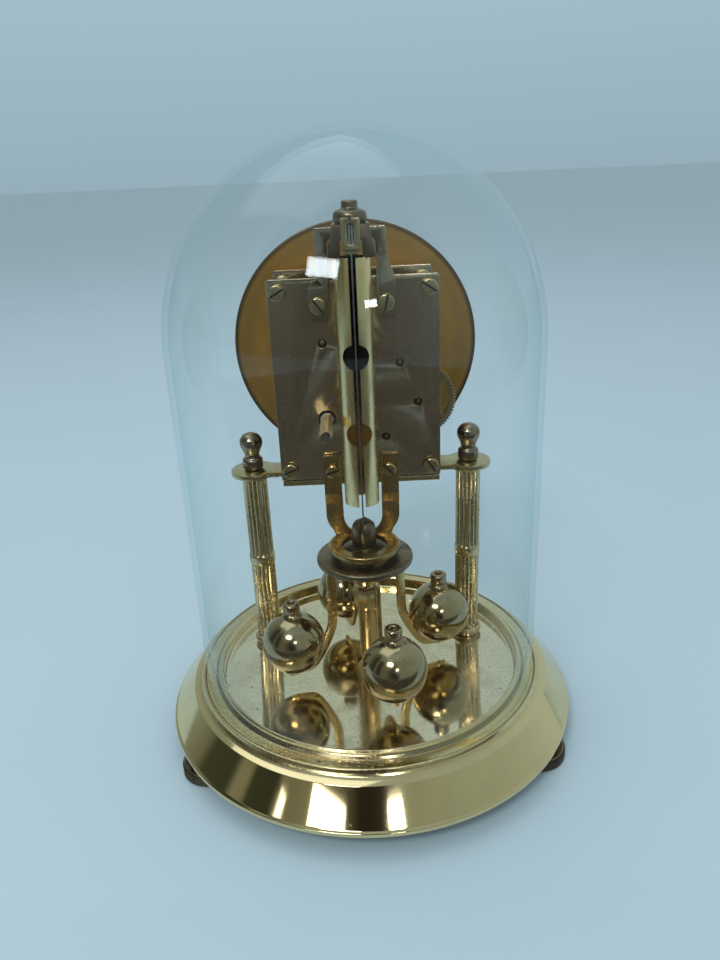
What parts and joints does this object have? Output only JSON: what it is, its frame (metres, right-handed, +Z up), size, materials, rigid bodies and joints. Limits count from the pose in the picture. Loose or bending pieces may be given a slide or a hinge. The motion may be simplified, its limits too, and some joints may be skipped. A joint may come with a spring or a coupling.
{
  "type": "anniversary clock",
  "caption": "Torsion pendulum clock on a round spun brass base, with balls on a rotary pendulum, fluted columns and a lift-off glass dome.",
  "frame": {"origin": "centre of the base, on the surface the clock stands on", "axes": "+Z up, dial faces -Y, winding square and suspension at +Y, +X to the dial's right as seen from the front"},
  "size_m": [0.15, 0.1515, 0.2083],
  "materials": {
    "polished_brass": "polished and lacquered, tarnished in the groove",
    "satin_brass": "satin, dulled with age",
    "golden_brass": "golden, lightly brushed",
    "dark_brass": "dark and tarnished",
    "dial_brass": "golden brown tarnish",
    "steel": "bright steel",
    "blued_steel": "blued steel",
    "dome_glass": "clear blown glass"
  },
  "bodies": {
    "root": {"base_shell": "polished_brass", "base_underplate": "dark_brass", "guide_cup": "golden_brass", "column_left": "satin_brass", "column_right": "satin_brass", "finial_left": "dark_brass", "finial_right": "dark_brass", "platform": "satin_brass", "back_plate": "satin_brass", "front_plate": "satin_brass", "pillar_lower_left": "satin_brass", "pillar_lower_right": "satin_brass", "pillar_upper_left": "satin_brass", "pillar_upper_right": "satin_brass", "plate_screw_lower_left": "satin_brass", "plate_screw_lower_right": "satin_brass", "plate_screw_upper_left": "satin_brass", "plate_screw_upper_right": "satin_brass", "dial": "dial_brass", "suspension_bracket": "satin_brass", "suspension_cap": "dark_brass", "upper_block": "steel", "suspension_spring": "steel", "guard_tube": "satin_brass", "guide_bracket": "golden_brass"},
    "foot_1": {"levelling_foot_1": "dark_brass"},
    "foot_2": {"levelling_foot_2": "dark_brass"},
    "foot_3": {"levelling_foot_3": "dark_brass"},
    "dome": {"dome": "dome_glass"},
    "pendulum": {"lower_block": "dark_brass", "pendulum_spindle": "golden_brass", "pendulum_arm_1": "golden_brass", "pendulum_arm_2": "golden_brass", "pendulum_arm_3": "golden_brass", "pendulum_arm_4": "golden_brass", "pendulum_ball_1": "polished_brass", "pendulum_ball_2": "polished_brass", "pendulum_ball_3": "polished_brass", "pendulum_ball_4": "polished_brass"},
    "rating": {"rating_disc": "dark_brass"},
    "fork": {"fork": "satin_brass"},
    "anchor": {"anchor": "steel"},
    "centre": {"centre_wheel": "satin_brass"},
    "barrel": {"barrel": "satin_brass", "barrel_cover": "satin_brass", "mainspring": "blued_steel"},
    "second": {"second_wheel": "satin_brass"},
    "third": {"third_wheel": "satin_brass"},
    "fourth": {"fourth_wheel": "satin_brass"},
    "fifth": {"fifth_wheel": "satin_brass"},
    "escape": {"escape_wheel": "satin_brass"},
    "winding": {"winding_arbor": "steel", "ratchet_wheel": "steel"},
    "click": {"click": "steel"},
    "minute": {"cannon_pinion": "satin_brass", "hand_nut": "steel", "minute_hand": "blued_steel"},
    "motion": {"minute_wheel": "satin_brass"},
    "hour": {"hour_wheel": "satin_brass", "hour_hand": "blued_steel"}
  },
  "joints": [
    {"name": "dome_lift", "type": "slide", "parent": "root", "child": "dome", "axis": [0, 0, 1], "range_m": [0, 0.2]},
    {"name": "pendulum_turn", "type": "hinge", "parent": "root", "child": "pendulum", "pos_m": [0, 0.006, 0.0824], "axis": [0, 0, 1], "range_deg": [-150, 150], "stiffness_Nm_per_rad": 0.00012},
    {"name": "rating_turn", "type": "hinge", "parent": "pendulum", "child": "rating", "pos_m": [0, 0.006, 0.0674], "axis": [0, 0, 1], "range_deg": [-60, 60]},
    {"name": "fork_turn", "type": "hinge", "parent": "root", "child": "fork", "pos_m": [0, 0.006, 0.1731], "axis": [0, 0, 1], "range_deg": [-4.5, 4.5]},
    {"name": "anchor_rock", "type": "hinge", "parent": "root", "child": "anchor", "pos_m": [0, 0, 0.1586], "axis": [0, 1, 0], "range_deg": [-3.5, 3.5]},
    {"name": "centre_turn", "type": "hinge", "parent": "root", "child": "centre", "pos_m": [0, 0, 0.1353], "axis": [0, 1, 0], "continuous": true},
    {"name": "barrel_turn", "type": "hinge", "parent": "root", "child": "barrel", "pos_m": [0.0108, 0, 0.1167], "axis": [0, 1, 0], "continuous": true},
    {"name": "second_turn", "type": "hinge", "parent": "root", "child": "second", "pos_m": [-0.0092, 0, 0.1095], "axis": [0, 1, 0], "continuous": true},
    {"name": "third_turn", "type": "hinge", "parent": "root", "child": "third", "pos_m": [-0.0204, 0, 0.1214], "axis": [0, 1, 0], "continuous": true},
    {"name": "fourth_turn", "type": "hinge", "parent": "root", "child": "fourth", "pos_m": [-0.0145, 0, 0.1352], "axis": [0, 1, 0], "continuous": true},
    {"name": "fifth_turn", "type": "hinge", "parent": "root", "child": "fifth", "pos_m": [0.0109, 0, 0.1426], "axis": [0, 1, 0], "continuous": true},
    {"name": "escape_turn", "type": "hinge", "parent": "root", "child": "escape", "pos_m": [0, 0, 0.1494], "axis": [0, 1, 0], "continuous": true},
    {"name": "minute_hand_turn", "type": "hinge", "parent": "root", "child": "minute", "pos_m": [0, 0, 0.1353], "axis": [0, 1, 0], "continuous": true},
    {"name": "minute_wheel_turn", "type": "hinge", "parent": "root", "child": "motion", "pos_m": [-0.00737, 0, 0.13014], "axis": [0, 1, 0], "continuous": true},
    {"name": "hour_hand_turn", "type": "hinge", "parent": "root", "child": "hour", "pos_m": [0, 0, 0.1353], "axis": [0, 1, 0], "continuous": true},
    {"name": "winding_turn", "type": "hinge", "parent": "root", "child": "winding", "pos_m": [0.0108, 0, 0.1167], "axis": [0, 1, 0], "range_deg": [0, 5040]},
    {"name": "click_lift", "type": "hinge", "parent": "root", "child": "click", "pos_m": [0.0196, 0, 0.1196], "axis": [0, -1, 0], "range_deg": [0, 12], "stiffness_Nm_per_rad": 0.002},
    {"name": "foot_turn_1", "type": "hinge", "parent": "root", "child": "foot_1", "pos_m": [0, -0.0663, 0.002], "axis": [0, 0, 1], "range_deg": [-360, 360]},
    {"name": "foot_turn_2", "type": "hinge", "parent": "root", "child": "foot_2", "pos_m": [0.05742, 0.03315, 0.002], "axis": [0, 0, 1], "range_deg": [-360, 360]},
    {"name": "foot_turn_3", "type": "hinge", "parent": "root", "child": "foot_3", "pos_m": [-0.05742, 0.03315, 0.002], "axis": [0, 0, 1], "range_deg": [-360, 360]}
  ],
  "couplings": [
    {"joint": "fork_turn", "follows": "pendulum_turn", "ratio": 0.03},
    {"joint": "anchor_rock", "follows": "pendulum_turn", "ratio": 0.022917},
    {"joint": "barrel_turn", "follows": "centre_turn", "ratio": 0.0014815},
    {"joint": "second_turn", "follows": "centre_turn", "ratio": -0.0074074},
    {"joint": "third_turn", "follows": "centre_turn", "ratio": 0.033333},
    {"joint": "fourth_turn", "follows": "centre_turn", "ratio": -0.2},
    {"joint": "fifth_turn", "follows": "centre_turn", "ratio": -4},
    {"joint": "escape_turn", "follows": "centre_turn", "ratio": 12},
    {"joint": "minute_hand_turn", "follows": "centre_turn", "ratio": 1},
    {"joint": "minute_wheel_turn", "follows": "centre_turn", "ratio": -0.33333},
    {"joint": "hour_hand_turn", "follows": "centre_turn", "ratio": 0.083333}
  ]
}
